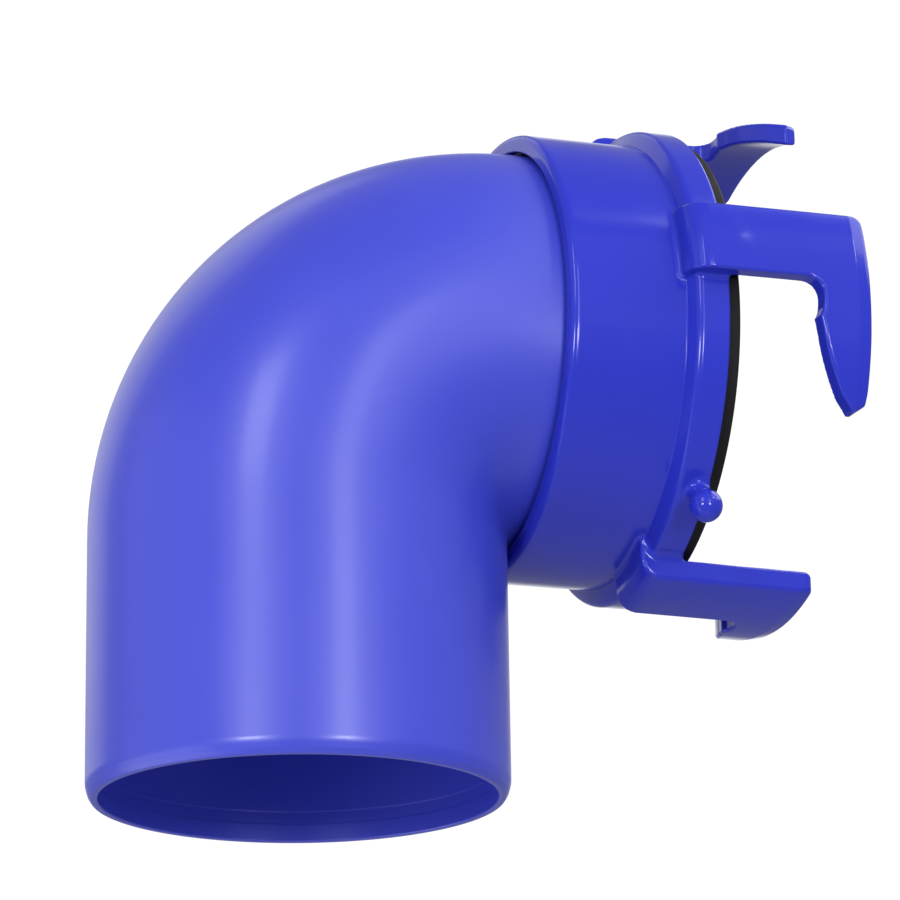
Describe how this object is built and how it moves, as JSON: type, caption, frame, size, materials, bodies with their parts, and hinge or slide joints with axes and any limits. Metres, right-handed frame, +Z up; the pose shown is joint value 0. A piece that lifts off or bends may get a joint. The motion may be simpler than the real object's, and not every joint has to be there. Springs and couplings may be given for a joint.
{
  "type": "sewer hose elbow adapter",
  "caption": "Ninety-degree sewer hose elbow: plain pipe spigot, swivel bayonet collar with claw hooks and a ball knob, rubber face gasket.",
  "frame": {"origin": "centre of the spigot's open end", "axes": "+Z up the spigot's axis, +X along the arm towards the bayonet hooks"},
  "size_m": [0.1539, 0.114, 0.158],
  "materials": {
    "blue_plastic": "satin moulded plastic, royal blue",
    "blue_collar_plastic": "glossy moulded plastic, royal blue",
    "black_rubber": "satin moulded rubber",
    "seal_rubber": "smooth nitrile rubber",
    "natural_acetal": "smooth natural acetal"
  },
  "bodies": {
    "elbow": {"elbow_pipe": "blue_plastic", "end_flange": "blue_plastic", "face_gasket": "black_rubber", "front_o_ring": "seal_rubber"},
    "collar": {"bayonet_collar": "blue_collar_plastic", "glide_washer": "natural_acetal", "rear_o_ring": "seal_rubber"}
  },
  "joints": [
    {"name": "collar_swivel", "type": "hinge", "parent": "elbow", "child": "collar", "pos_m": [0.045, 0, 0.101], "axis": [1, 0, 0], "continuous": true}
  ]
}
